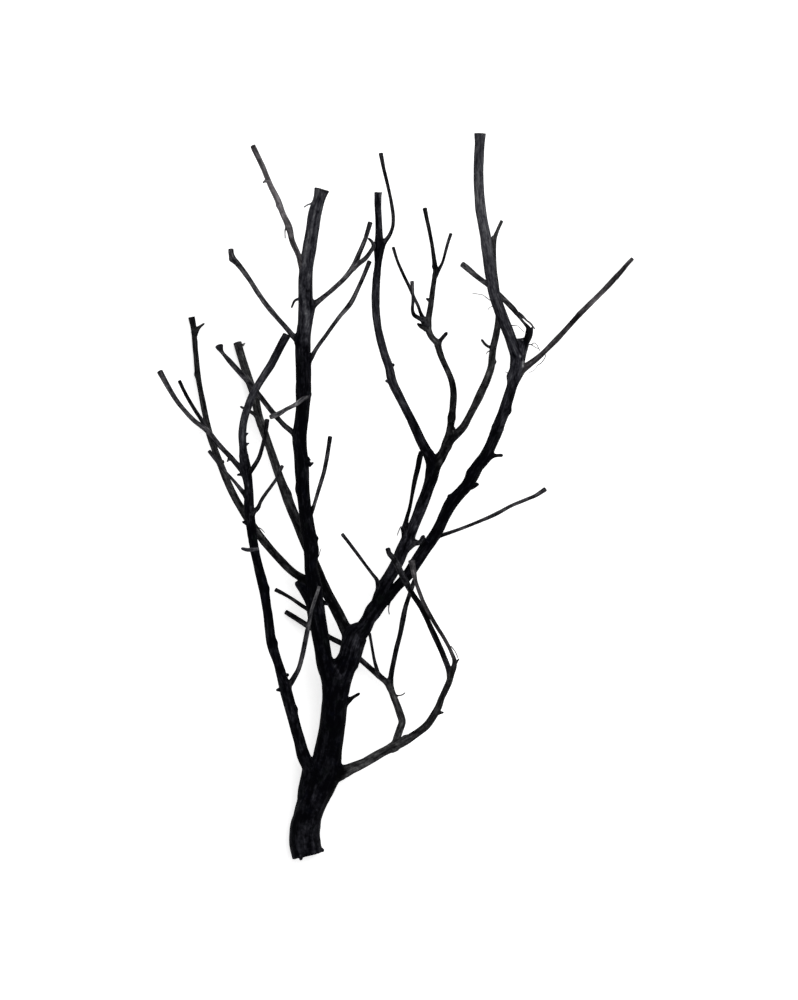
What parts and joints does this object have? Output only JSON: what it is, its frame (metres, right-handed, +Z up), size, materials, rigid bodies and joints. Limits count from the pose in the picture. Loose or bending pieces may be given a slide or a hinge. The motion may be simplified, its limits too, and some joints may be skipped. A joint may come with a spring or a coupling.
{
  "type": "aquarium driftwood root",
  "caption": "Bare blackened driftwood branch with many forks, lying on its side, sawn at its base and at the ends of its main stems.",
  "frame": {"origin": "middle of the base of the bounding box, on the surface that the wood lies on", "axes": "+Y from the sawn base towards the tips, +Z up from the surface, +X to the right seen from above with the base nearest"},
  "size_m": [0.3342, 0.5072, 0.1045],
  "materials": {
    "blackened_wood": "matt weathered bark, near black with grey streaks",
    "blackened_twig": "matt thin bark, charcoal grey",
    "brown_twig_wood": "matt thin bark, worn to brown-grey"
  },
  "bodies": {
    "root": {"trunk": "blackened_wood", "trunk_stub": "blackened_twig", "right_stem": "blackened_wood", "leader": "blackened_wood", "crossing_branch": "blackened_wood", "leader_broken_stub": "blackened_wood", "back_branch": "blackened_wood", "back_branch_twig": "blackened_twig", "cross_twig": "blackened_twig", "leader_low_twig": "blackened_twig", "leader_front_twig": "blackened_twig", "leader_mid_twig": "blackened_twig", "leader_high_twig": "blackened_twig", "leader_high_fork": "blackened_twig", "leader_left_twig": "blackened_twig", "leader_top_twig": "brown_twig_wood", "left_limb": "blackened_wood", "left_limb_front_twig": "blackened_twig", "left_limb_curved_twig": "blackened_twig", "left_limb_thin_twig": "blackened_twig", "left_limb_inner_twig": "blackened_twig", "left_limb_long_twig": "blackened_twig", "right_limb": "blackened_wood", "right_limb_inner_twig": "blackened_twig", "right_limb_brown_twig": "brown_twig_wood", "right_limb_sub_branch": "blackened_wood", "back_low_twig": "blackened_twig", "back_thin_twig": "blackened_twig", "back_side_twig": "blackened_twig", "back_up_twig": "blackened_twig", "middle_stem": "blackened_wood", "stem_left_twig": "blackened_twig", "middle_stub": "blackened_twig", "middle_side_twig": "blackened_twig", "middle_left_branch": "blackened_wood", "middle_top_twig": "blackened_twig", "middle_right_branch": "blackened_wood", "middle_inner_branch": "blackened_wood", "inner_spur": "blackened_twig", "inner_elbow_twig": "blackened_twig", "inner_thin_twig": "blackened_twig", "inner_top_twig": "blackened_twig", "outer_stem": "blackened_wood", "outer_spur": "blackened_twig", "outer_low_twig": "blackened_twig", "outer_top": "blackened_wood", "outer_long_twig": "brown_twig_wood", "outer_upper_twig": "brown_twig_wood"}
  },
  "joints": []
}
